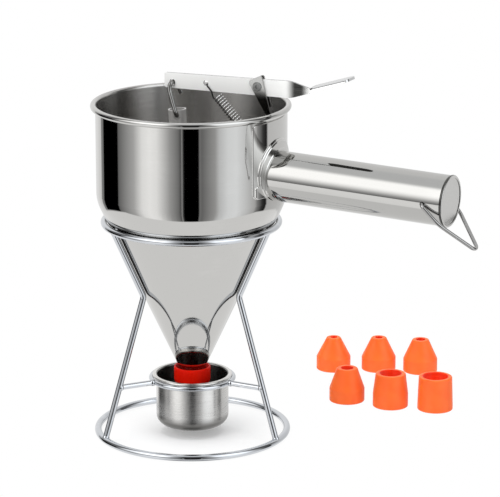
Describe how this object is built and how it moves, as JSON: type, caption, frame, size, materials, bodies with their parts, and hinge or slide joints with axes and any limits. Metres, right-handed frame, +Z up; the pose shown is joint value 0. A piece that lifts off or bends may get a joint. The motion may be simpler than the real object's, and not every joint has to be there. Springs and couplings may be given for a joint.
{
  "type": "confectionery funnel",
  "caption": "Stainless confectionery funnel with a thumb lever, a spring-closed plunger and a tube handle, in a wire stand with a drip cup and loose nozzles.",
  "frame": {"origin": "on the floor under the funnel's axis", "axes": "+Z up, +X along the handle"},
  "size_m": [0.3263, 0.3272, 0.3049],
  "materials": {
    "chromed_wire": "bright chromed wire",
    "cup_steel": "satin drawn stainless steel",
    "polished_steel": "mirror-polished stainless steel, brushed inside the bowl",
    "lever_steel": "polished stainless sheet and tube",
    "bright_wire": "bright drawn stainless wire",
    "spring_steel": "bright spring wire",
    "red_plastic": "matte moulded red-orange plastic",
    "orange_plastic": "matte moulded orange plastic"
  },
  "bodies": {
    "stand": {"base_ring": "chromed_wire", "top_ring": "chromed_wire", "leg_1": "chromed_wire", "leg_2": "chromed_wire", "leg_3": "chromed_wire", "cup_ring": "chromed_wire", "cup_strut_1": "chromed_wire", "cup_strut_2": "chromed_wire", "cup_strut_3": "chromed_wire"},
    "cup": {"drip_cup": "cup_steel"},
    "funnel": {"bowl": "polished_steel", "cone": "polished_steel", "spout": "polished_steel", "handle_plate": "polished_steel", "handle_flange": "polished_steel", "handle_tube": "polished_steel", "handle_end_cap": "polished_steel", "lever_bracket": "lever_steel", "pivot_rivet": "lever_steel", "return_spring": "spring_steel"},
    "lever": {"lever": "lever_steel"},
    "link": {"link_hook": "bright_wire"},
    "plunger": {"plunger_tube": "lever_steel", "plunger_stopper": "lever_steel"},
    "loop": {"hanging_loop": "bright_wire"},
    "nozzle": {"fitted_nozzle": "red_plastic"},
    "spare_1": {"spare_nozzle_1": "orange_plastic"},
    "spare_2": {"spare_nozzle_2": "orange_plastic"},
    "spare_3": {"spare_nozzle_3": "orange_plastic"},
    "spare_4": {"spare_nozzle_4": "orange_plastic"},
    "spare_5": {"spare_nozzle_5": "orange_plastic"},
    "spare_6": {"spare_nozzle_6": "orange_plastic"}
  },
  "joints": [
    {"name": "funnel_lift", "type": "slide", "parent": "stand", "child": "funnel", "axis": [0, 0, 1], "range_m": [0, 0.16]},
    {"name": "cup_lift", "type": "slide", "parent": "stand", "child": "cup", "axis": [0, 0, 1], "range_m": [0, 0.0175]},
    {"name": "lever_press", "type": "hinge", "parent": "funnel", "child": "lever", "pos_m": [0.0599, 0, 0.29267], "axis": [0, 1, 0], "range_deg": [0, 15], "stiffness_Nm_per_rad": 2, "springref_deg": -14.32, "deforming": ["return_spring"]},
    {"name": "link_swing", "type": "hinge", "parent": "lever", "child": "link", "pos_m": [-0.0159, 0, 0.28937], "axis": [0, 1, 0], "range_deg": [-10, 1]},
    {"name": "plunger_lift", "type": "slide", "parent": "funnel", "child": "plunger", "axis": [-0.0605, 0, 0.9982], "range_m": [0, 0.0195]},
    {"name": "loop_swing", "type": "hinge", "parent": "funnel", "child": "loop", "pos_m": [0.20813, 0, 0.21832], "axis": [0, 1, 0], "range_deg": [-134, 46]},
    {"name": "nozzle_pull", "type": "slide", "parent": "funnel", "child": "nozzle", "axis": [0, 0, -1], "range_m": [0, 0.011]},
    {"name": "spare_lift_1", "type": "slide", "parent": "stand", "child": "spare_1", "axis": [0, 0, 1], "range_m": [0, 0.04]},
    {"name": "spare_lift_2", "type": "slide", "parent": "stand", "child": "spare_2", "axis": [0, 0, 1], "range_m": [0, 0.04]},
    {"name": "spare_lift_3", "type": "slide", "parent": "stand", "child": "spare_3", "axis": [0, 0, 1], "range_m": [0, 0.04]},
    {"name": "spare_lift_4", "type": "slide", "parent": "stand", "child": "spare_4", "axis": [0, 0, 1], "range_m": [0, 0.04]},
    {"name": "spare_lift_5", "type": "slide", "parent": "stand", "child": "spare_5", "axis": [0, 0, 1], "range_m": [0, 0.04]},
    {"name": "spare_lift_6", "type": "slide", "parent": "stand", "child": "spare_6", "axis": [0, 0, 1], "range_m": [0, 0.04]}
  ],
  "couplings": [
    {"joint": "link_swing", "follows": "lever_press", "ratio": -0.635},
    {"joint": "plunger_lift", "follows": "lever_press", "m_per_rad": 0.0738}
  ]
}
